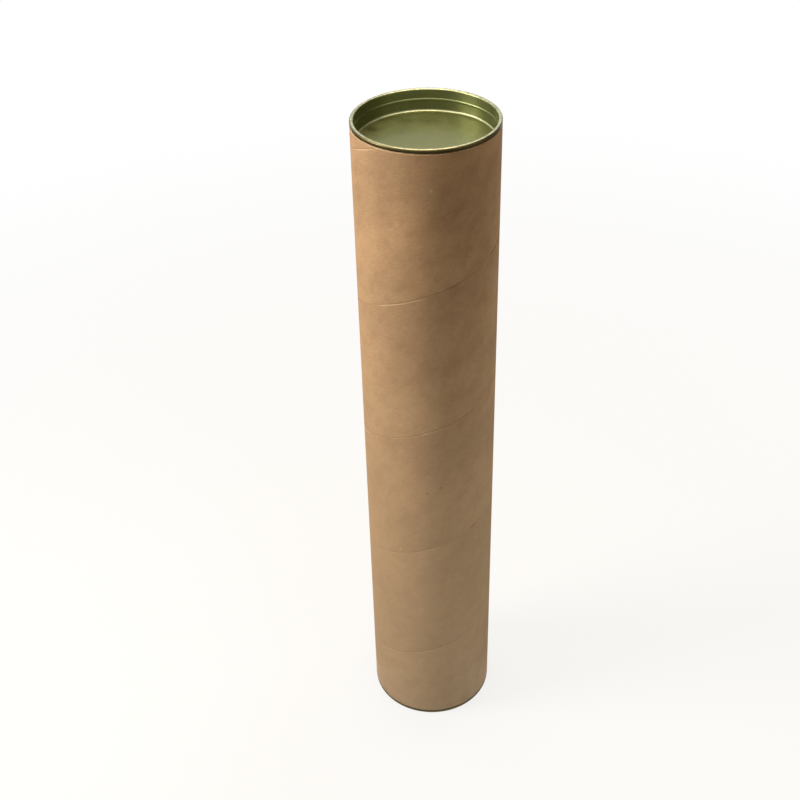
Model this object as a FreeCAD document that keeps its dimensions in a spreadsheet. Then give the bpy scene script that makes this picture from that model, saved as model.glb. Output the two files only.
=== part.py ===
# Cardboard mailing tube with metal ends, in millimetres.
#
# A spirally wound kraft board tube stands on its crimped tinplate bottom end.
# The same drawn tinplate cup, as a friction lid, is pushed into its top end.
# The tube's axis is +Z, the origin is the middle of the base, and -Y is the front.

import FreeCAD, Part
import math
import os

import Sketcher

# Driving sizes: name, value in millimetres or degrees, and what it is.
SIZES = [
    ("tube_diameter", 60.0, "outside of the board"),
    ("inside_length", 300.0, "free length between the two end panels, for a rolled A4 sheet"),
    ("board_wall", 1.2, "wound board, all plies together"),
    ("metal_thickness", 0.3, "tinplate of both ends"),
    ("recess_depth", 9.5, "from the rim's face down to the panel's face"),
    ("rim_bend", 0.6, "outer radius where the rim folds over the board"),
    ("hem_height", 1.6, "outside leg of the rim"),
    ("panel_bend", 1.0, "radius in the corner between the cup's wall and its panel"),
    ("bead_depth", 4.6, "from the rim's face to the middle of the bead in the wall"),
    ("bead_height", 0.3, "how far the bead stands into the recess"),
    ("bead_radius", 0.8, "radius of the bead's section, on the recess side"),
    ("lid_clearance", 0.1, "free space on each side of the lid's metal"),
    ("crimp_clearance", 0.02, "free space on each side of the crimped bottom end's metal"),
    ("hem_gap", 0.15, "between the hem's edge and the shoulder of the board"),
    ("seam_pitch", 69.1, "rise of the outer ply's seam in one turn"),
    ("seam_angle", 16.7, "degrees from +X to where the seam meets the base"),
    ("seam_width", 0.5, "gap between the edges of the outer ply"),
    ("seam_depth", 0.15, "how deep that gap is"),
]



def size(name):
    """The expression that reads one driving size."""
    return f"Sizes.{name}"


TUBE_R = f"({size('tube_diameter')} / 2)"
BORE_R = f"({TUBE_R} - {size('board_wall')})"
METAL = size("metal_thickness")
OVERALL = f"({size('inside_length')} + 2 * ({size('recess_depth')} + {METAL}))"
# The board is pressed in at its ends, so that the hem lies flush with the tube.
NECK_R = f"({TUBE_R} - {METAL} - {size('lid_clearance')})"
NECK_TOP = f"({size('hem_height')} + {size('hem_gap')})"
SHOULDER = f"({TUBE_R} - {NECK_R})"
# The board's cut edges are broken just enough to clear the bends inside the rims.
INNER_BEND = f"({size('rim_bend')} - {METAL})"


def make_sheet(doc):
    """The table of driving sizes."""
    sheet = doc.addObject("Spreadsheet::Sheet", "Sizes")
    for row, (name, value, note) in enumerate(SIZES, start=1):
        sheet.set(f"A{row}", name)
        sheet.set(f"B{row}", str(value))
        sheet.set(f"C{row}", note)
        sheet.setAlias(f"B{row}", name)
    doc.recompute()


def origin_plane(body, role):
    """One of a body's own origin planes."""
    return next(plane for plane in body.Origin.OriginFeatures if plane.Role == role)


def new_body(doc, label):
    body = doc.addObject("PartDesign::Body", label)
    body.Label = label
    return body


def new_sketch(body, name):
    """A sketch on the body's XZ plane: its x is the radius, its y the height."""
    sketch = body.newObject("Sketcher::SketchObject", name)
    sketch.AttachmentSupport = [(origin_plane(body, "XZ_Plane"), "")]
    sketch.MapMode = "FlatFace"
    return sketch


def arc_between(start, end, radius, turn):
    """A circle's arc from start to end that turns left (1) or right (-1), shorter way."""
    middle = (start + end) / 2
    chord = end - start
    left = FreeCAD.Vector(-chord.y, chord.x, 0).normalize()
    rise = math.sqrt(max(radius**2 - (chord.Length / 2) ** 2, 0))
    centre = middle + left * (turn * rise)
    first, last = (start, end) if turn > 0 else (end, start)
    angles = [math.atan2(p.y - centre.y, p.x - centre.x) for p in (first, last)]
    circle = Part.Circle(centre, FreeCAD.Vector(0, 0, 1), radius)
    return Part.ArcOfCircle(circle, angles[0], angles[1])


def pin_point(sketch, geometry, position, axis, expression):
    """Ties one coordinate of a point to an expression of the driving sizes."""
    # In a sketch, geometry -1 is the level axis with the origin as its point 1, and -2 the upright axis.
    if expression == "0":
        zero_line = {"X": -2, "Y": -1}[axis]
        sketch.addConstraint(Sketcher.Constraint("PointOnObject", geometry, position, zero_line))
        return
    value = float(sketch.evalExpression(expression))
    distance = Sketcher.Constraint(f"Distance{axis}", -1, 1, geometry, position, value)
    index = sketch.addConstraint(distance)
    sketch.setExpression(f"Constraints[{index}]", expression)


def draw_outline(sketch, outline):
    """A closed outline. Each entry is a corner's radius and height, as expressions, and
    None for a straight line to the next corner, or (arc radius, turn)."""
    corners = []
    for across, height, _ in outline:
        corners.append(FreeCAD.Vector(*(float(sketch.evalExpression(e)) for e in (across, height)), 0))
    ends = []
    for index, (_, _, arc) in enumerate(outline):
        start, end = corners[index], corners[(index + 1) % len(corners)]
        if arc is None:
            sketch.addGeometry(Part.LineSegment(start, end), False)
            ends.append((1, 2))
        else:
            radius = float(sketch.evalExpression(arc[0]))
            sketch.addGeometry(arc_between(start, end, radius, arc[1]), False)
            ends.append((1, 2) if arc[1] > 0 else (2, 1))
    for index, (across, height, arc) in enumerate(outline):
        previous = (index - 1) % len(outline)
        sketch.addConstraint(
            Sketcher.Constraint("Coincident", previous, ends[previous][1], index, ends[index][0])
        )
        pin_point(sketch, index, ends[index][0], "X", across)
        pin_point(sketch, index, ends[index][0], "Y", height)
        if arc is not None:
            radius = float(sketch.evalExpression(arc[0]))
            bend = sketch.addConstraint(Sketcher.Constraint("Radius", index, radius))
            sketch.setExpression(f"Constraints[{bend}]", arc[0])


def revolve(body, sketch):
    """Turns a half section into a round solid about the tube's axis."""
    solid = body.newObject("PartDesign::Revolution", f"{sketch.Name}Turned")
    solid.Profile = sketch
    solid.ReferenceAxis = (sketch, ["V_Axis"])
    solid.Angle = 360.0
    body.Tip = solid


def make_tube(doc):
    """The board tube, necked at both ends, with the open seam of its outer ply."""
    body = new_body(doc, "board_tube")
    low = METAL
    high = f"({OVERALL} - {METAL})"
    sketch = new_sketch(body, "BoardSection")
    draw_outline(sketch, [
        (BORE_R, f"{low} + {INNER_BEND}", None),
        (f"{BORE_R} + {INNER_BEND}", low, None),
        (f"{NECK_R} - {INNER_BEND}", low, None),
        (NECK_R, f"{low} + {INNER_BEND}", None),
        (NECK_R, NECK_TOP, None),
        (TUBE_R, f"{NECK_TOP} + {SHOULDER}", None),
        (TUBE_R, f"{OVERALL} - {NECK_TOP} - {SHOULDER}", None),
        (NECK_R, f"{OVERALL} - {NECK_TOP}", None),
        (NECK_R, f"{high} - {INNER_BEND}", None),
        (f"{NECK_R} - {INNER_BEND}", high, None),
        (f"{BORE_R} + {INNER_BEND}", high, None),
        (BORE_R, f"{high} - {INNER_BEND}", None),
    ])
    revolve(body, sketch)
    doc.recompute()
    cut_seam(doc, body)
    return body


def cut_seam(doc, body):
    """The helical gap between the edges of the outer ply, cut into the outside."""
    whole = body.Shape.Volume
    sketch = new_sketch(body, "SeamSection")
    about_axis = FreeCAD.Rotation(FreeCAD.Vector(0, 1, 0), 1)
    sketch.AttachmentOffset = FreeCAD.Placement(FreeCAD.Vector(0, 0, 0), about_axis)
    sketch.setExpression(".AttachmentOffset.Rotation.Angle", size("seam_angle"))
    outside = f"{TUBE_R} + {size('seam_depth')}"
    floor = f"{TUBE_R} - {size('seam_depth')}"
    draw_outline(sketch, [
        (floor, "0", None),
        (outside, "0", None),
        (outside, size("seam_width"), None),
        (floor, size("seam_width"), None),
    ])
    doc.recompute()
    seam = body.newObject("PartDesign::SubtractiveHelix", "Seam")
    seam.Profile = sketch
    seam.ReferenceAxis = (sketch, ["V_Axis"])
    seam.Mode = 0
    seam.LeftHanded = False
    seam.Reversed = False
    seam.setExpression("Pitch", size("seam_pitch"))
    seam.setExpression("Height", OVERALL)
    body.Tip = seam
    doc.recompute()
    if not body.Shape.Volume < whole:
        raise RuntimeError("the seam cut nothing from the board")


def make_end(doc, label, clearance, upward):
    """A drawn tinplate end: a hem outside the board, a rim over its edge, a wall with a
    rolled bead inside it, and a flat panel. Depths run from the rim's face inwards."""
    body = new_body(doc, label)

    def height(depth):
        if upward:
            return f"{OVERALL} - ({depth})"
        return depth

    left, right = (1, -1) if upward else (-1, 1)
    hem_out = f"({NECK_R} + {clearance} + {METAL})"
    hem_in = f"({NECK_R} + {clearance})"
    wall_out = f"({BORE_R} - {clearance})"
    wall_in = f"({BORE_R} - {clearance} - {METAL})"
    bend = size("rim_bend")
    corner = size("panel_bend")
    outer_corner = f"({size('panel_bend')} + {METAL})"
    panel = size("recess_depth")
    under = f"({size('recess_depth')} + {METAL})"
    # The bead's two faces share one centre, so the metal stays as thick there.
    bead = size("bead_radius")
    bead_back = f"({bead} - {METAL})"
    middle = size("bead_depth")
    half = f"sqrt({bead} ^ 2 - ({bead} - {size('bead_height')}) ^ 2)"
    half_back = f"sqrt({bead_back} ^ 2 - ({bead_back} - {size('bead_height')}) ^ 2)"

    sketch = new_sketch(body, f"{label}_section")
    draw_outline(sketch, [
        (hem_out, height(size("hem_height")), None),
        (hem_out, height(bend), (bend, left)),
        (f"{hem_out} - {bend}", height("0"), None),
        (f"{wall_in} + {bend}", height("0"), (bend, left)),
        (wall_in, height(bend), None),
        (wall_in, height(f"{middle} - {half}"), (bead, left)),
        (wall_in, height(f"{middle} + {half}"), None),
        (wall_in, height(f"{panel} - {corner}"), (corner, right)),
        (f"{wall_in} - {corner}", height(panel), None),
        ("0", height(panel), None),
        ("0", height(under), None),
        (f"{wall_in} - {corner}", height(under), (outer_corner, left)),
        (wall_out, height(f"{panel} - {corner}"), None),
        (wall_out, height(f"{middle} + {half_back}"), (bead_back, right)),
        (wall_out, height(f"{middle} - {half_back}"), None),
        (wall_out, height(bend), (INNER_BEND, right)),
        (f"{wall_out} + {INNER_BEND}", height(METAL), None),
        (f"{hem_in} - {INNER_BEND}", height(METAL), (INNER_BEND, right)),
        (hem_in, height(bend), None),
        (hem_in, height(size("hem_height")), None),
    ])
    revolve(body, sketch)
    return body


def check(doc, bodies):
    """Every object has to be sound, and every piece one valid solid."""
    for item in doc.Objects:
        if "Invalid" in item.State or "Error" in item.State:
            raise RuntimeError(f"{item.Name} failed: {item.State}")
    for body in bodies:
        shape = body.Shape
        if shape.isNull() or not shape.isValid() or len(shape.Solids) != 1:
            raise RuntimeError(f"{body.Label} is not one valid solid")


def main():
    doc = FreeCAD.newDocument("MailingTube")
    make_sheet(doc)
    bodies = [
        make_tube(doc),
        make_end(doc, "lid", size("lid_clearance"), True),
        make_end(doc, "bottom_end", size("crimp_clearance"), False),
    ]
    doc.recompute()
    check(doc, bodies)
    os.makedirs("parts", exist_ok=True)
    for body in bodies:
        body.Shape.exportStep(f"parts/{body.Label}.step")
        box = body.Shape.BoundBox
        print(f"{body.Label}: {body.Shape.Volume:.1f} mm3, z {box.ZMin:.2f} to {box.ZMax:.2f}")


main()
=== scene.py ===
# %% [markdown]
# # A kraft mailing tube with metal ends
#
# The object is a tube of spirally wound kraft board. A drawn tinplate cup is crimped into its
# bottom, and the same cup, as a push-in lid, closes its top. This file dresses the packed
# model: it keeps every size and place, and gives each piece its fine shape and its finish.
# Lengths are in metres. The small ones are written in millimetres and multiplied by MM.

# %% Load the frame
import math

import bmesh
import bpy
from mathutils import Matrix, Vector


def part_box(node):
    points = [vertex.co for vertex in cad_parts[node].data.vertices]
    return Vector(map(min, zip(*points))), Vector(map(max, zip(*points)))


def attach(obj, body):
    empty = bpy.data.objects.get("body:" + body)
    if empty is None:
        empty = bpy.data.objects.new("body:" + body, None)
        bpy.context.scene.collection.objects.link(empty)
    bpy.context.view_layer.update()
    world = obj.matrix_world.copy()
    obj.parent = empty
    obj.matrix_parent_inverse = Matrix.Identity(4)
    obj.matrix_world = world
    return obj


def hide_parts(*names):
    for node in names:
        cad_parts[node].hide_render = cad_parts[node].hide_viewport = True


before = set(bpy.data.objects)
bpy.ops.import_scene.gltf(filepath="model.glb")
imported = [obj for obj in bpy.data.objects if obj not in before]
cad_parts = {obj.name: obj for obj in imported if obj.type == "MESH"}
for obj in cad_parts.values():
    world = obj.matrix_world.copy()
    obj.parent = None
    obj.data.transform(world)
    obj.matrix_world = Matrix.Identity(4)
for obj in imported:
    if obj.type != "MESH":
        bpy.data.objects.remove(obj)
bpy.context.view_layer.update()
MM = 0.001

# %% [markdown]
# ## Sizes
#
# The outer sizes come from the frame, so the pieces always fit it. The gauges of the board
# and of the tinplate are the usual ones for such a tube, and everything else follows.

# %% Sizes of the tube and its ends
board_low, board_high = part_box("board_tube")
lid_low, lid_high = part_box("lid")
TUBE_R = board_high.x
HEIGHT = lid_high.z
METAL = board_low.z
BOARD_WALL = 1.2 * MM
BORE_R = TUBE_R - BOARD_WALL
LID_CLEARANCE, CRIMP_CLEARANCE = 0.1 * MM, 0.02 * MM
RECESS = lid_high.z - lid_low.z - METAL
RIM_BEND, PANEL_BEND = 0.6 * MM, 1.0 * MM
HEM = 1.6 * MM
BEAD_DEPTH, BEAD_HEIGHT, BEAD_RADIUS = 4.6 * MM, 0.3 * MM, 0.8 * MM
NECK_R = TUBE_R - METAL - LID_CLEARANCE
NECK = HEM + 0.15 * MM
SHOULDER = TUBE_R - NECK_R
SEAM_PITCH = 69.1 * MM
SEAM_AT_BASE = math.radians(16.7)
SEAM_GAP, SEAM_DEPTH = 0.5 * MM, 0.15 * MM
COLUMNS = 192
print("recess", round(RECESS / MM, 2), "mm deep, board", round(BOARD_WALL / MM, 2), "mm thick")

# %% [markdown]
# ## Small helpers
#
# Materials and Geometry Nodes are both trees of nodes. One small function adds a node, sets
# it up and links it, so a tree reads from top to bottom. Colours are written the way a
# paint chart gives them, as sRGB hex, and turned to the linear values that shaders use. The
# size of a noise is worked out from the real size of what it stands for.


# %% Helpers for nodes, colours and noise sizes
def add(tree, kind, feeds=None, **settings):
    """Adds a node. Feeds are its inputs by name or number: another node's socket or a value."""
    node = tree.nodes.new(kind)
    for name, value in settings.items():
        setattr(node, name, value)
    for name, value in (feeds or {}).items():
        if isinstance(value, bpy.types.NodeSocket):
            tree.links.new(value, node.inputs[name])
        else:
            node.inputs[name].default_value = value
    return node


def colour(chart):
    """An sRGB hex colour as linear red, green, blue and alpha."""
    parts = [int(chart[i:i + 2], 16) / 255 for i in (1, 3, 5)]
    return tuple(c / 12.92 if c <= 0.04045 else ((c + 0.055) / 1.055) ** 2.4 for c in parts) + (1.0,)


def per(millimetres):
    """The scale that makes a noise's features about this many millimetres wide."""
    return 1000 / millimetres


WHITE = colour("#FFFFFF")
print("a middle grey of 50% on the chart is", round(colour("#808080")[0], 3), "in linear light")

# %% [markdown]
# ## Turning and winding a section
#
# Every piece here is either turned, like a cup on a spinning lathe, or wound, like the outer
# ply that climbs round the tube. Both are one rule: carry a section round the axis, and let
# it rise a little on every turn. With no rise the rule turns a closed ring, and with a rise
# of one seam's pitch it winds the ply, whose upper edge meets its lower edge one turn on.
# Geometry Nodes suit a rule like this. The tree takes a section as a chain of points and
# lays a grid: its columns go round, and each column has one row for each point of the section.


# %% The grid that becomes the surface
def section_grid(tree, given):
    """A flat grid, and each point's column, its row, and its share of the way up the rows."""
    size = add(tree, "GeometryNodeAttributeDomainSize", {"Geometry": given["Geometry"]})
    rows = size.outputs["Point Count"]
    steps = add(
        tree, "FunctionNodeIntegerMath", {0: given["Columns"], 1: given["Turns"]}, operation="MULTIPLY"
    )
    across = add(tree, "FunctionNodeIntegerMath", {0: steps.outputs[0], 1: 1}, operation="ADD")
    grid = add(tree, "GeometryNodeMeshGrid", {"Vertices X": across.outputs[0], "Vertices Y": rows})
    index = add(tree, "GeometryNodeInputIndex").outputs[0]
    column = add(tree, "FunctionNodeIntegerMath", {0: index, 1: rows}, operation="DIVIDE_FLOOR")
    row = add(tree, "FunctionNodeIntegerMath", {0: index, 1: rows}, operation="MODULO")
    share = add(tree, "ShaderNodeMath", {0: row.outputs[0], 1: rows}, operation="DIVIDE")
    return grid.outputs["Mesh"], column.outputs[0], row.outputs[0], share.outputs[0]


# %% [markdown]
# Next, the tree finds where each point of the grid goes. Its column gives the angle and the
# climb, and its row gives the radius and the height within the section. Where the wound ply
# would run past the ends of the tube, it is cut off level. Along a real seam the ply's edges
# part in some stretches and touch in others, so a slow noise closes the gap here and there.
# The ply's upper edge meets the lower edge of the next turn, so the noise is read one turn
# further on there, and both edges close at the same place.


# %% Where each point goes
def turned_places(tree, given, column, row, share):
    """Each point's place, and its place on the map: metres round the tube and along the section."""
    spot = add(
        tree, "GeometryNodeSampleIndex",
        {"Geometry": given["Geometry"], "Value": add(tree, "GeometryNodeInputPosition").outputs[0],
         "Index": row},
        data_type="FLOAT_VECTOR",
    )
    spot = add(tree, "ShaderNodeSeparateXYZ", {0: spot.outputs["Value"]}).outputs
    radius, along, height = spot["X"], spot["Y"], spot["Z"]
    turn = add(tree, "ShaderNodeMath", {0: column, 1: given["Columns"]}, operation="DIVIDE")
    angle = add(tree, "ShaderNodeMath", {0: turn.outputs[0], 1: math.tau}, operation="MULTIPLY")
    climb = add(
        tree, "ShaderNodeMath", {0: turn.outputs[0], 1: given["Rise"], 2: height},
        operation="MULTIPLY_ADD",
    )
    level = add(
        tree, "ShaderNodeClamp",
        {"Value": climb.outputs[0], "Min": given["Lowest"], "Max": given["Highest"]},
    )
    cut = add(
        tree, "FunctionNodeCompare", {0: climb.outputs[0], 1: level.outputs[0], "Epsilon": 1e-6},
        data_type="FLOAT", operation="NOT_EQUAL",
    )
    radius = add(
        tree, "GeometryNodeSwitch",
        {"Switch": cut.outputs[0], "False": radius, "True": given["End radius"]}, input_type="FLOAT",
    )
    round_run = add(
        tree, "ShaderNodeMath", {0: angle.outputs[0], 1: given["End radius"]}, operation="MULTIPLY"
    )
    upper = add(tree, "ShaderNodeMath", {0: share, 1: 0.5}, operation="GREATER_THAN")
    meets = add(tree, "ShaderNodeMath", {0: turn.outputs[0], 1: upper.outputs[0]}, operation="ADD")
    girth = add(tree, "ShaderNodeMath", {0: given["End radius"], 1: math.tau}, operation="MULTIPLY")
    seam_run = add(tree, "ShaderNodeMath", {0: meets.outputs[0], 1: girth.outputs[0]}, operation="MULTIPLY")
    parting = add(
        tree, "ShaderNodeTexNoise",
        {"W": seam_run.outputs[0], "Scale": given["Parting scale"], "Detail": 2.0},
        noise_dimensions="1D",
    )
    parting = add(
        tree, "ShaderNodeMapRange",
        {"Value": parting.outputs[0], "From Min": 0.38, "From Max": 0.62, "To Min": given["Gap closes"],
         "To Max": 0.0},
    )
    radius = add(
        tree, "ShaderNodeMix",
        {"Factor": parting.outputs[0], "A": radius.outputs[0], "B": given["End radius"]},
    )
    flat = add(tree, "ShaderNodeCombineXYZ", {"X": radius.outputs[0], "Z": level.outputs[0]})
    placed = add(
        tree, "ShaderNodeVectorRotate", {"Vector": flat.outputs[0], "Angle": angle.outputs[0]},
        rotation_type="Z_AXIS",
    )
    run = add(tree, "ShaderNodeCombineXYZ", {"X": round_run.outputs[0], "Y": along})
    return placed.outputs[0], run.outputs[0]


# %% [markdown]
# The whole tree bends the grid into place and joins it where a turned ring closes. It keeps
# the map on the mesh, for patterns that follow the surface. Sheet and board are never quite
# true, so a slow wave can then stand the surface off by a hair. Only the metal ends are given one.


# %% The tree that turns or winds a section
def turning_tree():
    tree = bpy.data.node_groups.new("Turn or wind a section", "GeometryNodeTree")
    face = tree.interface
    face.new_socket("Geometry", in_out="INPUT", socket_type="NodeSocketGeometry")
    for name, kind in (
        ("Columns", "NodeSocketInt"), ("Turns", "NodeSocketInt"), ("Rise", "NodeSocketFloat"),
        ("Lowest", "NodeSocketFloat"), ("Highest", "NodeSocketFloat"),
        ("End radius", "NodeSocketFloat"), ("Gap closes", "NodeSocketFloat"),
        ("Parting scale", "NodeSocketFloat"), ("Wave height", "NodeSocketFloat"),
        ("Wave scale", "NodeSocketFloat"), ("Material", "NodeSocketMaterial"),
    ):
        face.new_socket(name, in_out="INPUT", socket_type=kind)
    face.new_socket("Geometry", in_out="OUTPUT", socket_type="NodeSocketGeometry")
    given = add(tree, "NodeGroupInput").outputs
    grid, column, row, share = section_grid(tree, given)
    placed, run = turned_places(tree, given, column, row, share)

    run = add(
        tree, "GeometryNodeFieldOnDomain", {"Value": run}, data_type="FLOAT_VECTOR", domain="POINT"
    )
    mapped = add(
        tree, "GeometryNodeStoreNamedAttribute",
        {"Geometry": grid, "Name": "Run", "Value": run.outputs[0]}, data_type="FLOAT2", domain="CORNER",
    )
    bent = add(tree, "GeometryNodeSetPosition", {"Geometry": mapped.outputs[0], "Position": placed})
    whole = add(tree, "GeometryNodeMergeByDistance", {"Geometry": bent.outputs[0], "Distance": 2e-6})

    here = add(tree, "GeometryNodeInputPosition").outputs[0]
    wave = add(
        tree, "ShaderNodeTexNoise", {"Vector": here, "Scale": given["Wave scale"], "Detail": 1.0}
    )
    swing = add(tree, "ShaderNodeMath", {0: wave.outputs[0], 1: 0.5}, operation="SUBTRACT")
    lift = add(
        tree, "ShaderNodeMath", {0: swing.outputs[0], 1: given["Wave height"]}, operation="MULTIPLY"
    )
    normal = add(tree, "GeometryNodeInputNormal").outputs[0]
    push = add(tree, "ShaderNodeVectorMath", {0: normal, "Scale": lift.outputs[0]}, operation="SCALE")
    waved = add(
        tree, "GeometryNodeSetPosition", {"Geometry": whole.outputs[0], "Offset": push.outputs[0]}
    )
    real = add(tree, "GeometryNodeRealizeInstances", {0: waved.outputs[0]})
    done = add(
        tree, "GeometryNodeSetMaterial", {"Geometry": real.outputs[0], "Material": given["Material"]}
    )
    add(tree, "NodeGroupOutput", {0: done.outputs[0]})
    return tree


TURNING = turning_tree()
print("turning tree:", len(TURNING.nodes), "nodes")

# %% [markdown]
# A section is drawn as its sharp corners, each with the radius that rounds it. The radius
# matters more than it seems: a thin bright line runs along every rounded edge of bright
# metal, and a sharp corner would show none.


# %% Sections from corners
def rounded(corners, steps=8):
    """Points along straight runs between corners (across, up, radius), with each corner an arc."""
    points = []
    for i, (x, z, radius) in enumerate(corners):
        here = Vector((x, z))
        if radius == 0 or i in (0, len(corners) - 1):
            points.append(here)
            continue
        back = (Vector(corners[i - 1][:2]) - here).normalized()
        on = (Vector(corners[i + 1][:2]) - here).normalized()
        half = back.angle(on) / 2
        reach = radius / math.tan(half)
        centre = here + (back + on).normalized() * (radius / math.sin(half))
        first, last = here + back * reach - centre, here + on * reach - centre
        sweep = first.angle_signed(last)
        for k in range(steps + 1):
            points.append(centre + Matrix.Rotation(-sweep * k / steps, 2) @ first)
    return points


def bulge(start, end, radius, steps=8):
    """Points on the arc from start to end that bows to the right of the way there, ends left out."""
    start, end = Vector(start), Vector(end)
    chord = end - start
    left = Vector((-chord.y, chord.x)).normalized()
    centre = (start + end) / 2 + left * math.sqrt(radius**2 - (chord.length / 2) ** 2)
    first = start - centre
    sweep = first.angle_signed(end - centre)
    return [centre + Matrix.Rotation(-sweep * k / steps, 2) @ first for k in range(1, steps)]


print("a square corner becomes", len(rounded([(0, 0, 0), (1, 0, 0.5), (1, 1, 0)])) - 2, "points")

# %% [markdown]
# The section goes into the tree as a mesh of points and edges. Each point's middle number,
# which the section itself doesn't need, carries how far along the section it lies. The
# result is taken out as a plain mesh, because other programs know nothing of the tree.

# %% The length of the stretches in which a seam parts or closes, in millimetres
STRETCH = 22.0


# %% A turned mesh
def turned(
    name, section, material, wave=0.0, wave_mm=20.0, turns=1, rise=0.0, low=-1.0, high=1.0, closes=0.0,
):
    """A mesh made by the tree from a section, which is a list of (radius, height)."""
    run, points = 0.0, []
    for i, point in enumerate(section):
        if i:
            run += (point - section[i - 1]).length
        points.append((point.x, run, point.y))
    chain = bpy.data.meshes.new(name + "_section")
    chain.from_pydata(points, [(i, i + 1) for i in range(len(points) - 1)], [])
    holder = bpy.data.objects.new(name + "_section", chain)
    bpy.context.scene.collection.objects.link(holder)
    modifier = holder.modifiers.new("Turn", "NODES")
    modifier.node_group = TURNING
    given = {
        "Columns": COLUMNS, "Turns": turns, "Rise": rise, "Lowest": low, "Highest": high,
        "End radius": TUBE_R, "Gap closes": closes, "Parting scale": per(STRETCH),
        "Wave height": wave, "Wave scale": per(wave_mm), "Material": material,
    }
    for socket in TURNING.interface.items_tree:
        if socket.in_out == "INPUT" and socket.name in given:
            modifier[socket.identifier] = given[socket.name]
    depsgraph = bpy.context.evaluated_depsgraph_get()
    mesh = bpy.data.meshes.new_from_object(holder.evaluated_get(depsgraph), depsgraph=depsgraph)
    holder.modifiers.remove(modifier)
    bpy.data.objects.remove(holder)
    print(name, "turned:", len(mesh.vertices), "points")
    return mesh


# %% [markdown]
# A piece is one or more such meshes joined edge to edge, so that it is closed, as a real
# solid is. Faces are made to point outwards, and only edges of more than 40 degrees are left
# sharp. Then the piece rides on its body and takes the place of its CAD node.


# %% A finished piece
def piece(name, meshes, body, node):
    """Joins meshes edge to edge into one closed piece that stands for a CAD node."""
    joined = bmesh.new()
    materials = []
    for mesh in meshes:
        first = len(joined.faces)
        joined.from_mesh(mesh)
        joined.faces.ensure_lookup_table()
        finish = mesh.materials[-1]
        if finish not in materials:
            materials.append(finish)
        for face in joined.faces[first:]:
            face.material_index = materials.index(finish)
            face.smooth = True
    bmesh.ops.remove_doubles(joined, verts=joined.verts, dist=3e-6)
    stray = [edge for edge in joined.edges if not edge.link_faces]
    bmesh.ops.delete(joined, geom=stray, context="EDGES")
    bmesh.ops.recalc_face_normals(joined, faces=joined.faces)
    open_edges = sum(not edge.is_manifold for edge in joined.edges)
    mesh = bpy.data.meshes.new(name)
    joined.to_mesh(mesh)
    joined.free()
    mesh.set_sharp_from_angle(angle=math.radians(40))
    for material in materials:
        mesh.materials.append(material)
    thing = bpy.data.objects.new(name, mesh)
    bpy.context.scene.collection.objects.link(thing)
    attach(thing, body)
    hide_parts(node)
    print(name, len(mesh.polygons), "faces,", open_edges, "open edges")


# %% [markdown]
# ## Kraft board
#
# The board is unbleached kraft paper, made from long wood fibres, glued in plies and wound.
# It is matt and a little fuzzy. Close up it is a felt of fibres that lie mostly along the
# paper's run, with a few darker flecks. From a step away it is cloudy, because paper is
# never equally thick. The fibres follow the ply round the tube, so the pattern reads the
# mesh's own map, which the tree laid along the winding, and it breaks at the seam as the
# real ply does. The fibre pattern is drawn a few times coarser than real fibres, which are
# only some hundredths of a millimetre wide and would not show.

# %% Sizes of the board's patterns, in millimetres
FIBRE_LONG, FIBRE_WIDE, FIBRE_DEEP = 3.0, 0.35, 0.05
CLOUD, CLOUD_DEEP = 9.0, 0.2
PATCH = 38.0
FLECK = 0.9
print("fibres", FIBRE_LONG, "by", FIBRE_WIDE, "mm, clouds", CLOUD, "mm, patches", PATCH, "mm")


# %% The felt of fibres, with its clouds, patches and flecks
def felt(tree, run, light, dark, shade):
    """The paper's tone, and the noises of its fibres and its clouds."""
    along = add(tree, "ShaderNodeMapping", {"Vector": run, "Scale": (1.0, FIBRE_LONG / FIBRE_WIDE, 1.0)})
    fibres = add(
        tree, "ShaderNodeTexNoise",
        {"Vector": along.outputs[0], "Scale": per(FIBRE_LONG), "Detail": 3.0, "Roughness": 0.6},
        noise_dimensions="2D",
    )
    clouds = add(
        tree, "ShaderNodeTexNoise",
        {"Vector": run, "Scale": per(CLOUD), "Detail": 4.0, "Roughness": 0.65}, noise_dimensions="2D",
    )
    patches = add(
        tree, "ShaderNodeTexNoise",
        {"Vector": run, "Scale": per(PATCH), "Detail": 1.5}, noise_dimensions="2D",
    )
    flecks = add(
        tree, "ShaderNodeTexNoise", {"Vector": along.outputs[0], "Scale": per(FLECK), "Detail": 0.0},
        noise_dimensions="2D",
    )

    # The fibres mix the two kraft tones, the clouds and patches shade them, and flecks darken.
    mixed = add(
        tree, "ShaderNodeMapRange", {"Value": fibres.outputs[0], "From Min": 0.25, "From Max": 0.75}
    )
    tone = add(
        tree, "ShaderNodeMix", {"Factor": mixed.outputs[0], "A": colour(dark), "B": colour(light)},
        data_type="RGBA",
    )
    cloudy = add(
        tree, "ShaderNodeMapRange",
        {"Value": clouds.outputs[0], "From Min": 0.42, "From Max": 0.75, "To Max": 0.5},
    )
    tone = add(
        tree, "ShaderNodeMix",
        {"Factor": cloudy.outputs[0], "A": tone.outputs["Result"], "B": colour(shade)}, data_type="RGBA",
    )
    patchy = add(
        tree, "ShaderNodeMapRange",
        {"Value": patches.outputs[0], "From Min": 0.35, "From Max": 0.65,
         "To Min": 0.91, "To Max": 1.07},
    )
    tone = add(
        tree, "ShaderNodeVectorMath", {0: tone.outputs["Result"], "Scale": patchy.outputs[0]},
        operation="SCALE",
    )
    fleck = add(
        tree, "ShaderNodeMapRange",
        {"Value": flecks.outputs[0], "From Min": 0.74, "From Max": 0.8, "To Min": 1.0, "To Max": 0.8},
    )
    tone = add(
        tree, "ShaderNodeVectorMath", {0: tone.outputs[0], "Scale": fleck.outputs[0]}, operation="SCALE"
    )
    return tone.outputs[0], fibres.outputs[0], clouds.outputs[0]
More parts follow.
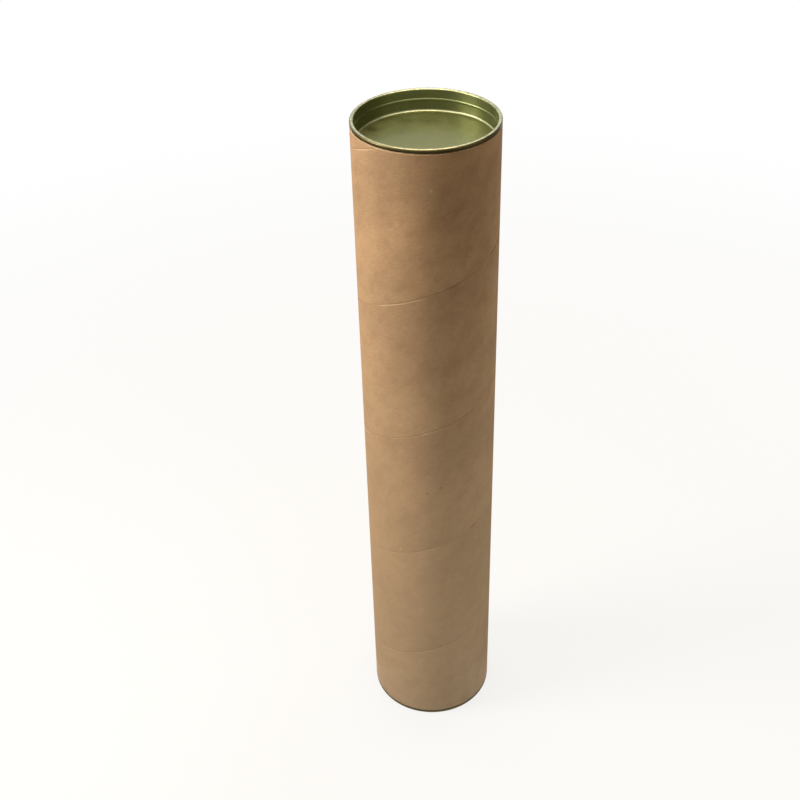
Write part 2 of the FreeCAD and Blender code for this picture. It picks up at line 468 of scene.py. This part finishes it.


# %% [markdown]
# At the seam the paper darkens a little, where the ply's edges soaked up glue. In some
# stretches the lower ply's top edge, which faces up to the light, is painted pale: a painted
# highlight. The map's second number runs across the ply, so both edges of the seam are found
# from it alone. One slow noise along the seam says where it is soaked and where the painted
# highlight lies. It starts at a chosen place, so that a pale stretch lies where the
# photograph shows one.

# %% Sizes of the seam's marks, in millimetres, and where the noise along it starts, in metres
STAIN_FULL, STAIN_GONE = 0.3, 1.0
SEAM_HIGHLIGHT_FULL, SEAM_HIGHLIGHT_GONE = 0.3, 0.7
NOISE_START = 0.9


# %% The seam's stain and its pale edge, a painted highlight
def seam_marks(tree, run, seam):
    """How far the seam darkens the tone, where 1 leaves it, and how far its edge is painted pale as a
    highlight.
    """
    place = add(tree, "ShaderNodeSeparateXYZ", {0: run}).outputs
    folded = add(tree, "ShaderNodeMath", {0: place["Y"], 1: SEAM_PITCH / 2}, operation="PINGPONG")
    started = add(tree, "ShaderNodeMath", {0: place["X"], 1: NOISE_START}, operation="ADD")
    stretches = add(
        tree, "ShaderNodeTexNoise", {"W": started.outputs[0], "Scale": per(STRETCH), "Detail": 2.0},
        noise_dimensions="1D",
    )
    soaked = add(
        tree, "ShaderNodeMapRange",
        {"Value": stretches.outputs[0], "From Min": 0.35, "From Max": 0.6,
         "To Min": 1.0 - seam, "To Max": 1.0},
    )
    stain = add(
        tree, "ShaderNodeMapRange",
        {"Value": folded.outputs[0], "From Min": STAIN_FULL * MM, "From Max": STAIN_GONE * MM,
         "To Min": soaked.outputs[0], "To Max": 1.0},
    )
    # The painted highlight: the lower ply's top edge, pale in some stretches, where it faces up to the
    # light.
    top_edge = add(
        tree, "ShaderNodeMapRange",
        {"Value": place["Y"], "From Min": SEAM_PITCH - SEAM_HIGHLIGHT_GONE * MM,
         "From Max": SEAM_PITCH - SEAM_HIGHLIGHT_FULL * MM},
    )
    rubbed_and_highlit = add(
        tree, "ShaderNodeMapRange",
        {"Value": stretches.outputs[0], "From Min": 0.58, "From Max": 0.68, "To Max": 3.0 * seam},
    )
    rubbed_and_highlit = add(
        tree, "ShaderNodeMath", {0: top_edge.outputs[0], 1: rubbed_and_highlit.outputs[0]}, operation="MULTIPLY"
    )
    return stain.outputs[0], rubbed_and_highlit.outputs[0]


# %% [markdown]
# A tube that has been carried about has nicks and knocks. Nicks are pale specks, where the
# skin of the paper is rubbed through. They sit in the middle of some of a Voronoi pattern's
# cells, at random. Knocks are a few larger marks on the front, some pale where the board is
# rubbed and some dark, each at its own place and of its own size.

# %% Nicks and knocks, in millimetres: across and up from the foot's middle, wide, high, colour
NICK_APART = 36.0
PALE_WEAR_AND_HIGHLIGHT, DARK_MARK = "#E6CFAE", "#5E4529"
KNOCKS = (
    (1.7, 302.8, 1.3, 1.5, PALE_WEAR_AND_HIGHLIGHT), (5.3, 258.4, 2.2, 0.8, PALE_WEAR_AND_HIGHLIGHT),
    (-1.3, 152.0, 2.0, 0.8, DARK_MARK), (5.0, 154.9, 2.2, 0.8, DARK_MARK),
)
print("knocks:", len(KNOCKS))


# %% The nicks and the knocks
def nicked(tree, run):
    """How far the skin of the paper is worn through."""
    cells = add(
        tree, "ShaderNodeTexVoronoi", {"Vector": run, "Scale": per(NICK_APART)}, voronoi_dimensions="2D"
    ).outputs
    nick = add(
        tree, "ShaderNodeMapRange",
        {"Value": cells["Distance"], "From Min": 0.008, "From Max": 0.02, "To Min": 0.3, "To Max": 0.0},
    )
    chosen = add(tree, "ShaderNodeSeparateXYZ", {0: cells["Color"]}).outputs["X"]
    chosen = add(tree, "ShaderNodeMath", {0: chosen, 1: 0.7}, operation="GREATER_THAN")
    nick = add(tree, "ShaderNodeMath", {0: nick.outputs[0], 1: chosen.outputs[0]}, operation="MULTIPLY")
    return nick.outputs[0]


def knocked(tree, tone, solid):
    """The tone with the knocks on it."""
    for across, up, wide, high, mark in KNOCKS:
        centre = (across * MM, -math.sqrt(TUBE_R**2 - (across * MM) ** 2), up * MM)
        spread = (2 / (wide * MM), 0.5 / (wide * MM), 2 / (high * MM))
        off = add(tree, "ShaderNodeVectorMath", {0: solid, 1: centre}, operation="SUBTRACT")
        off = add(tree, "ShaderNodeVectorMath", {0: off.outputs[0], 1: spread}, operation="MULTIPLY")
        off = add(tree, "ShaderNodeVectorMath", {0: off.outputs[0]}, operation="LENGTH")
        there = add(
            tree, "ShaderNodeMapRange",
            {"Value": off.outputs["Value"], "From Min": 0.5, "From Max": 1.2,
             "To Min": 0.4, "To Max": 0.0},
        )
        tone = add(
            tree, "ShaderNodeMix", {"Factor": there.outputs[0], "A": tone, "B": colour(mark)},
            data_type="RGBA",
        ).outputs["Result"]
    return tone


# %% [markdown]
# The material puts these together. Hands have worked the paper near the lid, so its pattern
# stands out more there and fades towards an even tone low down. The whole is also tinted on
# its way up, greyer and cooler at the foot and warmer and darker near the lid, as it does in
# the photograph: painted light, for the cool light bounced up from the floor and the warm shade
# higher up. Relief comes from the same fibres and clouds, and is far under a tenth of a
# millimetre. The board is rough, and weaker in its sheen than plastic, because loose fibres
# scatter what would be mirrored.

# %% How the board changes on its way up, in pattern and in painted light, with heights in metres
WORKED_FROM, WORKED_TO = 0.10, 0.28
EVEN_LOW = 0.55
FOOT_PAINTED_BOUNCE, TOP_PAINTED_SHADE = (0.94, 1.02, 1.09, 1.0), (0.96, 0.91, 0.85, 1.0)
print("the pattern fades below", WORKED_TO / MM, "mm")


# %% The kraft board material
def kraft_board(name, light, dark, shade, even, seam):
    """Wound kraft board: its light and dark tones, the tone of its clouds, the even tone that
    it fades to low down, and how much the seam's edges darken."""
    material = bpy.data.materials.new(name)
    material.use_nodes = True
    tree = material.node_tree
    tree.nodes.clear()
    run = add(tree, "ShaderNodeUVMap", uv_map="Run").outputs[0]
    solid = add(tree, "ShaderNodeTexCoord").outputs["Object"]
    height = add(tree, "ShaderNodeSeparateXYZ", {0: solid}).outputs["Z"]
    tone, fibres, clouds = felt(tree, run, light, dark, shade)
    stain, rubbed_and_highlit = seam_marks(tree, run, seam)

    tone = add(tree, "ShaderNodeVectorMath", {0: tone, "Scale": stain}, operation="SCALE")
    smooth = add(
        tree, "ShaderNodeMapRange",
        {"Value": height, "From Min": WORKED_FROM, "From Max": WORKED_TO,
         "To Min": EVEN_LOW, "To Max": 0.0},
    )
    tone = add(
        tree, "ShaderNodeMix",
        {"Factor": smooth.outputs[0], "A": tone.outputs[0], "B": colour(even)}, data_type="RGBA",
    )
    # Pale: the seam's painted highlight, and the nicks, which are wear.
    pale = add(tree, "ShaderNodeMath", {0: rubbed_and_highlit, 1: nicked(tree, run)}, operation="MAXIMUM")
    tone = add(
        tree, "ShaderNodeMix",
        {"Factor": pale.outputs[0], "A": tone.outputs["Result"], "B": colour(PALE_WEAR_AND_HIGHLIGHT)},
        data_type="RGBA",
    )
    tone = knocked(tree, tone.outputs["Result"], solid)
    # Painted light: a tint from cooler and greyer at the foot to warmer and darker near the lid.
    painted_light_tint = add(tree, "ShaderNodeMapRange", {"Value": height, "From Max": WORKED_TO})
    painted_light_tint = add(
        tree, "ShaderNodeMix", {"Factor": painted_light_tint.outputs[0], "A": FOOT_PAINTED_BOUNCE, "B": TOP_PAINTED_SHADE},
        data_type="RGBA",
    )
    tone = add(
        tree, "ShaderNodeVectorMath", {0: tone, 1: painted_light_tint.outputs["Result"]}, operation="MULTIPLY"
    )

    relief = add(
        tree, "ShaderNodeBump", {"Height": fibres, "Strength": 0.18, "Distance": FIBRE_DEEP * MM}
    )
    relief = add(
        tree, "ShaderNodeBump",
        {"Height": clouds, "Strength": 0.3, "Distance": CLOUD_DEEP * MM, "Normal": relief.outputs[0]},
    )
    dull = add(
        tree, "ShaderNodeMapRange",
        {"Value": clouds, "From Min": 0.3, "From Max": 0.7, "To Min": 0.62, "To Max": 0.8},
    )
    board = add(
        tree, "ShaderNodeBsdfPrincipled",
        {"Base Color": tone.outputs[0], "Roughness": dull.outputs[0], "Normal": relief.outputs[0],
         "Specular IOR Level": 0.35},
    )
    add(tree, "ShaderNodeOutputMaterial", {"Surface": board.outputs[0]})
    return material


KRAFT = kraft_board(
    "Kraft board, outer ply", "#CAA984", "#B89672", "#A48362", even="#BE9C78", seam=0.12
)
LINING = kraft_board(
    "Kraft board, bore and cut edges", "#DCC29C", "#CBAD88", "#BC9C76", even="#D0B38D", seam=0.0
)
print("board materials:", KRAFT.name, "and", LINING.name)

# %% [markdown]
# ## Lacquered tinplate
#
# The ends are stamped from tinplate, steel with a skin of tin, coated with a gold lacquer
# before stamping. The tin reflects, the lacquer tints what it reflects to an olive gold, and
# its own clear surface adds a second, sharper reflection. The sheet keeps the faint straight
# lines of the rolling mill, drawn here a few times wider than real ones, which would not
# show. Handling leaves smudges, and rubs the lacquer thin in places.

# %% Sizes of the metal's patterns, of its worn places, of its painted highlights and of its painted shade, in millimetres
ROLLED_LONG, ROLLED_WIDE, ROLLED_DEEP = 30.0, 0.4, 0.01
SMUDGE, SCUFF = 7.0, 1.6
WEAR_AND_HIGHLIGHT_FULL, WEAR_AND_HIGHLIGHT_GONE = 0.1, 0.5
CORNER_HIGHLIGHT_FULL, CORNER_HIGHLIGHT_GONE = 0.6, 0.35
HEM_SHADE_FULL, HEM_SHADE_GONE = 0.2, 0.45
print("rolling lines", ROLLED_WIDE, "mm, smudges", SMUDGE, "mm, scuffs", SCUFF, "mm")

# %% [markdown]
# Brighter metal shows in two places. One is the rims' faces, within half a millimetre, where
# the lid is gripped and the tube set down. The lacquer is worn there, and the same pale colour
# also paints the rim's bright highlight. The other is the round corner between panel and wall,
# which is painted bright: a painted highlight where the bent corner catches the light. The
# hems, up over the outer bend of the rim, are painted dark: a painted shade for the dark
# surroundings that they mirror, so the bright line stays thin and near the crown. All three
# are found from the place on the solid alone, and both ends get them, because heights are
# measured from the tube's middle.


# %% Where the metal is worn and painted bright, and where the hem is painted dark
def wear_highlight_and_hem_shade(tree, place):
    """How far the lacquer is worn off and painted bright as a highlight, and how far the hem is painted
    dark as shade.
    """
    height = add(tree, "ShaderNodeSeparateXYZ", {0: place}).outputs["Z"]
    middle = add(tree, "ShaderNodeMath", {0: height, 1: HEIGHT / 2}, operation="SUBTRACT")
    out = add(tree, "ShaderNodeMath", {0: middle.outputs[0]}, operation="ABSOLUTE")
    edge = add(
        tree, "ShaderNodeMapRange",
        {"Value": out.outputs[0], "From Min": HEIGHT / 2 - WEAR_AND_HIGHLIGHT_GONE * MM,
         "From Max": HEIGHT / 2 - WEAR_AND_HIGHLIGHT_FULL * MM},
    )
    scuffs = add(
        tree, "ShaderNodeTexNoise",
        {"Vector": place, "Scale": per(SCUFF), "Detail": 4.0, "Roughness": 0.7},
    )
    worn = add(
        tree, "ShaderNodeMapRange", {"Value": scuffs.outputs[0], "From Min": 0.3, "From Max": 0.55}
    )
    bare_and_highlit = add(tree, "ShaderNodeMath", {0: edge.outputs[0], 1: worn.outputs[0]}, operation="MULTIPLY")

    across = add(tree, "ShaderNodeVectorMath", {0: place, 1: (1.0, 1.0, 0.0)}, operation="MULTIPLY")
    across = add(tree, "ShaderNodeVectorMath", {0: across.outputs[0]}, operation="LENGTH")
    # The corner's band is a painted highlight: brighter metal where the bent corner catches the light.
    corner_r, corner_z = BORE_R - METAL - PANEL_BEND, HEIGHT / 2 - RECESS
    inward = add(
        tree, "ShaderNodeMapRange",
        {"Value": across.outputs["Value"], "From Min": corner_r + CORNER_HIGHLIGHT_GONE * MM,
         "From Max": corner_r + CORNER_HIGHLIGHT_FULL * MM},
    )
    low = add(
        tree, "ShaderNodeMapRange",
        {"Value": out.outputs[0], "From Min": corner_z + 0.7 * PANEL_BEND,
         "From Max": corner_z + 0.4 * PANEL_BEND},
    )
    corner = add(tree, "ShaderNodeMath", {0: inward.outputs[0], 1: low.outputs[0]}, operation="MULTIPLY")
    bare_and_highlit = add(tree, "ShaderNodeMath", {0: bare_and_highlit.outputs[0], 1: corner.outputs[0]}, operation="MAXIMUM")
    # The hems' outside is painted dark: painted shade for the dark surroundings that it mirrors.
    painted_hem_shade = add(
        tree, "ShaderNodeMapRange",
        {"Value": across.outputs["Value"], "From Min": TUBE_R - HEM_SHADE_GONE * MM,
         "From Max": TUBE_R - HEM_SHADE_FULL * MM},
    )
    return bare_and_highlit.outputs[0], painted_hem_shade.outputs[0]


# %% The lacquered tinplate material
def lacquered_tinplate(name, gold, smudged, rubbed_and_highlit, hem_shade_colour):
    """Gold-lacquered tinplate: its colour, and its colours where smudged, where worn and painted bright as
    a highlight, and where the hem is painted dark as shade.
    """
    material = bpy.data.materials.new(name)
    material.use_nodes = True
    tree = material.node_tree
    tree.nodes.clear()
    place = add(tree, "ShaderNodeTexCoord").outputs["Object"]
    bare_and_highlit, painted_hem_shade = wear_highlight_and_hem_shade(tree, place)

    # Rolling lines run straight across the sheet that the cup was stamped from.
    stretch = (ROLLED_WIDE / ROLLED_LONG, 1.0, 1.0)
    rolled = add(tree, "ShaderNodeMapping", {"Vector": place, "Scale": stretch})
    lines = add(
        tree, "ShaderNodeTexNoise",
        {"Vector": rolled.outputs[0], "Scale": per(ROLLED_WIDE), "Detail": 2.0},
    )
    smudges = add(
        tree, "ShaderNodeTexNoise",
        {"Vector": place, "Scale": per(SMUDGE), "Detail": 3.0, "Roughness": 0.6},
    )
    dirty = add(
        tree, "ShaderNodeMapRange", {"Value": smudges.outputs[0], "From Min": 0.4, "From Max": 0.7}
    )
    tint = add(
        tree, "ShaderNodeMix",
        {"Factor": dirty.outputs[0], "A": colour(gold), "B": colour(smudged)}, data_type="RGBA",
    )
    tint = add(
        tree, "ShaderNodeMix",
        {"Factor": bare_and_highlit, "A": tint.outputs["Result"], "B": colour(rubbed_and_highlit)}, data_type="RGBA",
    )
    tint = add(
        tree, "ShaderNodeMix",
        {"Factor": painted_hem_shade, "A": tint.outputs["Result"], "B": colour(hem_shade_colour)}, data_type="RGBA",
    )
    haze = add(
        tree, "ShaderNodeMapRange",
        {"Value": smudges.outputs[0], "From Min": 0.3, "From Max": 0.7, "To Min": 0.34, "To Max": 0.48},
    )
    relief = add(
        tree, "ShaderNodeBump", {"Height": lines.outputs[0], "Strength": 0.2, "Distance": ROLLED_DEEP * MM}
    )
    metal = add(
        tree, "ShaderNodeBsdfPrincipled",
        {"Base Color": tint.outputs["Result"], "Metallic": 1.0, "Roughness": haze.outputs[0],
         "Normal": relief.outputs[0], "Coat Weight": 0.12, "Coat Roughness": 0.12},
    )
    add(tree, "ShaderNodeOutputMaterial", {"Surface": metal.outputs[0]})
    return material


# The pale colour is worn metal that also paints the highlights of the rims and the corner; the last one
# paints the hems' shade.
TINPLATE = lacquered_tinplate("Gold-lacquered tinplate", "#7A7E54", "#70744C", "#B4B496", "#5A5030")
print("metal material:", TINPLATE.name)

# %% [markdown]
# ## The board tube
#
# The outside is one ply, as wide as the seam's pitch, wound up the tube with a hair's gap
# between its edges. Its section runs from the middle of the gap up the ply's edge, along its
# face and down the other edge. Winding it gives the seam for free, and the seam is then real
# relief that light can catch.

# %% The section of the wound ply
PLY_ROWS = 16
EDGE, SUPPORT = 0.06 * MM, 0.25 * MM
seam_low = -SEAM_PITCH * (1 + SEAM_AT_BASE / math.tau)
edge_up = [
    (TUBE_R - SEAM_DEPTH, 0.0), (TUBE_R - SEAM_DEPTH, SEAM_GAP / 2),
    (TUBE_R - EDGE, SEAM_GAP / 2 + EDGE / 2),
]
first_row, last_row = SEAM_GAP / 2 + 2 * EDGE, SEAM_PITCH - SEAM_GAP / 2 - 2 * EDGE
inner_low, inner_high = first_row + SUPPORT, last_row - SUPPORT
inner_rows = [inner_low + (inner_high - inner_low) * k / PLY_ROWS for k in range(PLY_ROWS + 1)]
face_rows = [first_row] + inner_rows + [last_row]
ply = [Vector((x, z + seam_low)) for x, z in edge_up]
ply += [Vector((TUBE_R, z + seam_low)) for z in face_rows]
ply += [Vector((x, SEAM_PITCH - z + seam_low)) for x, z in reversed(edge_up)]
print("the ply's section has", len(ply), "points")

# %% [markdown]
# The bore, the cut ends and the necks under the metal hems are plain turned sections that
# meet the wound ply edge to edge. The necks are where the hems press the board in.

# %% The board tube
outside_low, outside_high = NECK + SHOULDER, HEIGHT - NECK - SHOULDER
turns = math.ceil((outside_high - seam_low) / SEAM_PITCH)
broken = RIM_BEND - METAL
upper = [
    (TUBE_R, outside_high), (NECK_R, HEIGHT - NECK), (NECK_R, HEIGHT - METAL - broken),
    (NECK_R - broken, HEIGHT - METAL), (BORE_R + broken, HEIGHT - METAL),
    (BORE_R, HEIGHT - METAL - broken),
]
lower = [(x, HEIGHT - z) for x, z in reversed(upper)]
piece(
    "wound_board",
    [
        turned("ply", ply, KRAFT, turns=turns, rise=SEAM_PITCH, low=outside_low, high=outside_high,
               closes=0.8),
        turned("bore_and_ends", [Vector(p) for p in upper + lower], LINING),
    ],
    "tube_body", "board_tube",
)


# %% [markdown]
# ## The drawn ends
#
# Each end is one piece of sheet: a hem outside the board, a rim rolled over its cut edge, a
# wall with a fine bead that stiffens it, and a flat panel. The sheet has one thickness all
# the way, so the section is drawn out along one face and back along the other. Depths are
# measured from the rim's face, which lets one function make the lid and, turned over, the
# bottom.

# %% How the ends are drawn
PANEL_RINGS = 12
SHEET_WAVE, SHEET_WAVE_LONG = 0.05 * MM, 16.0


# %% The lid and the bottom end
def drawn_end(name, clearance, body, node, upward):
    """One end of the tube: the lid where upward is true, and the bottom where it isn't."""
    hem_out, hem_in = NECK_R + clearance + METAL, NECK_R + clearance
    wall_out = BORE_R - clearance
    wall_in = wall_out - METAL
    under = RECESS + METAL
    raw_edge = METAL / 3
    half = math.sqrt(BEAD_RADIUS**2 - (BEAD_RADIUS - BEAD_HEIGHT) ** 2)
    back_radius = BEAD_RADIUS - METAL
    half_back = math.sqrt(back_radius**2 - (back_radius - BEAD_HEIGHT) ** 2)
    flat_from = wall_in - PANEL_BEND
    rings = [flat_from * k / PANEL_RINGS for k in range(PANEL_RINGS)]

    outer = rounded([
        (hem_in, METAL + RIM_BEND, 0), (hem_in, HEM, raw_edge), (hem_out, HEM, raw_edge),
        (hem_out, 0.0, RIM_BEND), (wall_in, 0.0, RIM_BEND), (wall_in, BEAD_DEPTH - half, 0),
    ])
    bead = bulge((wall_in, -BEAD_DEPTH + half), (wall_in, -BEAD_DEPTH - half), BEAD_RADIUS)
    bead = [Vector((p.x, -p.y)) for p in bead]
    inner = rounded([(wall_in, BEAD_DEPTH + half, 0), (wall_in, RECESS, PANEL_BEND), (0.0, RECESS, 0)])
    panel = [Vector((x, RECESS)) for x in reversed(rings)]
    below = [Vector((x, under)) for x in rings]
    outside = rounded([
        (0.0, under, 0), (wall_out, under, PANEL_BEND + METAL), (wall_out, BEAD_DEPTH + half_back, 0),
    ])
    bead_back = bulge(
        (wall_out, BEAD_DEPTH + half_back), (wall_out, BEAD_DEPTH - half_back), -back_radius
    )
    inside = rounded([
        (wall_out, BEAD_DEPTH - half_back, 0), (wall_out, METAL, RIM_BEND - METAL),
        (hem_in, METAL, RIM_BEND - METAL), (hem_in, METAL + RIM_BEND, 0),
    ])
    section = outer + bead + inner[:-1] + panel + below + outside[1:] + bead_back + inside
    if upward:
        section = [Vector((p.x, HEIGHT - p.y)) for p in section]
    mesh = turned(name + "_sheet", section, TINPLATE, wave=SHEET_WAVE, wave_mm=SHEET_WAVE_LONG)
    piece(name, [mesh], body, node)


drawn_end("push_in_lid", LID_CLEARANCE, "lid_body", "lid", upward=True)
drawn_end("crimped_bottom", CRIMP_CLEARANCE, "tube_body", "bottom_end", upward=False)

# %% [markdown]
# ## The floor and the world
#
# The tube stands in a plain white studio. Paper that looks white throws light on everything
# near it, and would fill the dark side of the board. So the floor and the world are made of
# two parts, and the Light Path node picks between them: what the camera sees, and what the
# metal mirrors, is white, while the light they send on to the board is dim. The floor keeps a
# little matt paper in the part that is seen, near the tube, which is what catches a shadow.
# Further off it fades to the plain white of the world, so that no horizon shows.

# %% Sizes of the floor, and where it fades to white, in metres
FLOOR_R = 6.0
FADE_FROM, FADE_TO = 0.05, 0.8


# %% Helpers for what is seen
def seen_directly(tree):
    """One for rays that show this surface: straight from the camera, mirrored, or through glass."""
    path = add(tree, "ShaderNodeLightPath").outputs
    rays = add(
        tree, "ShaderNodeMath", {0: path["Is Camera Ray"], 1: path["Is Glossy Ray"]}, operation="MAXIMUM"
    )
    rays = add(
        tree, "ShaderNodeMath", {0: rays.outputs[0], 1: path["Is Transmission Ray"]}, operation="MAXIMUM"
    )
    return rays.outputs[0]


def fading(tree, near, far):
    """A value that eases from near to far on the way out from the tube."""
    place = add(tree, "ShaderNodeTexCoord").outputs["Object"]
    away = add(tree, "ShaderNodeVectorMath", {0: place}, operation="LENGTH")
    eased = add(
        tree, "ShaderNodeMapRange",
        {"Value": away.outputs["Value"], "From Min": FADE_FROM, "From Max": FADE_TO,
         "To Min": near, "To Max": far},
        interpolation_type="SMOOTHSTEP",
    )
    return eased.outputs[0]


# %% The floor
bpy.ops.mesh.primitive_circle_add(vertices=96, radius=FLOOR_R, fill_type="NGON")
floor = bpy.context.object
floor.name = "floor"
paper = bpy.data.materials.new("Matt white floor")
paper.use_nodes = True
tree = paper.node_tree
tree.nodes.clear()
dim = add(tree, "ShaderNodeBsdfDiffuse", {"Color": colour("#9E9C9A")})
matt = add(tree, "ShaderNodeBsdfDiffuse", {"Color": fading(tree, 0.14, 0.0)})
glow = add(tree, "ShaderNodeEmission", {"Color": WHITE, "Strength": fading(tree, 0.79, 1.0)})
white = add(tree, "ShaderNodeAddShader", {0: matt.outputs[0], 1: glow.outputs[0]})
either = add(tree, "ShaderNodeMixShader", {0: seen_directly(tree), 1: dim.outputs[0], 2: white.outputs[0]})
add(tree, "ShaderNodeOutputMaterial", {"Surface": either.outputs[0]})
floor.data.materials.append(paper)
print("floor material:", paper.name)

# %% The world
world = bpy.data.worlds.new("White studio")
world.use_nodes = True
tree = world.node_tree
tree.nodes.clear()
soft = add(
    tree, "ShaderNodeMix", {"Factor": seen_directly(tree), "A": colour("#4B423C"), "B": WHITE},
    data_type="RGBA",
)
sky = add(tree, "ShaderNodeBackground", {"Color": soft.outputs["Result"], "Strength": 1.0})
add(tree, "ShaderNodeOutputWorld", {"Surface": sky.outputs[0]})
bpy.context.scene.world = world
print("world:", world.name)

# %% [markdown]
# ## The lamps
#
# A soft lamp close by on the left, above the height of the tube's top, is the window. It
# gives the board its fall of light from left to right, and it fades down the tube because it
# is near. A large warm lamp overhead lights the front and puts a bright line on the rolled
# metal. Two faint lamps fill the dark side: one low down in front, a little to the right, for
# the lower half of the tube, and one behind on the right, which draws a soft edge down the
# board. They are kept out of the metal, where they would show as spots, and their spread is
# narrowed so that they leave no lit line on the floor.


# %% The lamps
def lamp(name, place, target, width, watts, tint, spread=180):
    """A square soft lamp that faces its target. Spread is the angle it fans out to, in degrees."""
    light = bpy.data.lights.new(name, "AREA")
    light.shape = "SQUARE"
    light.size = width
    light.energy = watts
    light.spread = math.radians(spread)
    light.color = colour(tint)[:3]
    holder = bpy.data.objects.new(name, light)
    holder.location = place
    holder.rotation_euler = (Vector(place) - Vector(target)).to_track_quat("Z", "Y").to_euler()
    holder.visible_camera = False
    bpy.context.scene.collection.objects.link(holder)
    print(name, "at", place)
    return holder


lamp("window_lamp", (-0.535, -0.11, 0.48), (0.0, 0.0, 0.2), 0.24, 3.7, "#FFFAF3")
lamp("overhead_lamp", (0.0, 0.1, 1.3), (0.0, 0.0, 0.0), 0.8, 16.5, "#FFECC6")
low_lamp = lamp("low_lamp", (0.17, -0.31, 0.14), (0.0, 0.0, 0.06), 0.16, 0.105, "#EEF8FF", 100)
low_lamp.visible_glossy = False
back_lamp = lamp("back_lamp", (0.50, 0.35, 0.20), (0.0, 0.0, 0.14), 0.3, 0.25, "#F6FBFF", 90)
back_lamp.visible_glossy = False


# %% [markdown]
# ## The dark cards
#
# Bright metal shows the room it stands in, and in an all-white room it looks flat. A
# photographer sets black cards where the metal will mirror them. One stands high on the right
# and darkens the left of the lid's wall, and three lie round the foot and darken the outside
# of the hems. The camera doesn't see them, they throw no shadow, and they take away only a
# little of the faint sheen on the nearly matt board.


# %% The dark cards
BLACK = bpy.data.materials.new("Matt black card")
BLACK.use_nodes = True
BLACK.node_tree.nodes.clear()
soot = add(BLACK.node_tree, "ShaderNodeBsdfDiffuse", {"Color": colour("#303030")})
add(BLACK.node_tree, "ShaderNodeOutputMaterial", {"Surface": soot.outputs[0]})


def dark_card(name, place, target, width, height):
    """A black card that faces its target and that shows only in reflections."""
    bpy.ops.mesh.primitive_plane_add(size=1.0, location=place)
    card = bpy.context.object
    card.name = name
    card.scale = (width, height, 1.0)
    card.rotation_euler = (Vector(place) - Vector(target)).to_track_quat("Z", "Y").to_euler()
    card.visible_camera = False
    card.visible_diffuse = False
    card.visible_shadow = False
    card.data.materials.append(BLACK)
    print(name, "at", place)


dark_card("right_card", (0.62, 0.22, 0.6), (0.0, 0.0, HEIGHT), 0.8, 0.8)
dark_card("front_card", (0.0, -0.6, 0.01), (0.0, -0.6, -1.0), 1.6, 1.13)
dark_card("left_foot_card", (-0.435, 0.265, 0.01), (-0.435, 0.265, -1.0), 0.8, 0.6)
dark_card("right_foot_card", (0.435, 0.265, 0.01), (0.435, 0.265, -1.0), 0.8, 0.6)

# %% [markdown]
# ## The camera
#
# The camera stands above the front of the tube and looks down on it, close enough for the
# tube to taper. Its place, tilt and lens were worked out from how the tube's outline tapers
# and how round its rim looks in the picture that this model follows. Lengths are in metres
# and angles in radians.

# %% The camera
CAMERA_BACK, CAMERA_UP = 0.4469, 0.5130
CAMERA_TILT, CAMERA_TURN, CAMERA_ROLL = 0.6364, -0.0295, -0.0286
FOCAL_PIXELS, PICTURE_PIXELS = 1216.9, 800

ahead = Vector((
    math.sin(CAMERA_TURN) * math.cos(CAMERA_TILT),
    math.cos(CAMERA_TURN) * math.cos(CAMERA_TILT),
    -math.sin(CAMERA_TILT),
))
level_right = Vector((math.cos(CAMERA_TURN), -math.sin(CAMERA_TURN), 0.0))
level_up = level_right.cross(ahead)
right = level_right * math.cos(CAMERA_ROLL) + level_up * math.sin(CAMERA_ROLL)
up = level_up * math.cos(CAMERA_ROLL) - level_right * math.sin(CAMERA_ROLL)
view = Matrix((right, up, -ahead)).transposed().to_4x4()
view.translation = Vector((0.0, -CAMERA_BACK, CAMERA_UP))

camera_data = bpy.data.cameras.new("camera")
camera_data.sensor_width = 36.0
camera_data.lens = camera_data.sensor_width * FOCAL_PIXELS / PICTURE_PIXELS
camera_data.clip_start, camera_data.clip_end = 0.01, 20.0
camera = bpy.data.objects.new("camera", camera_data)
camera.matrix_world = view
bpy.context.scene.collection.objects.link(camera)
bpy.context.scene.camera = camera
bpy.context.scene.view_settings.view_transform = "Standard"
print("lens", round(camera_data.lens, 2), "mm")
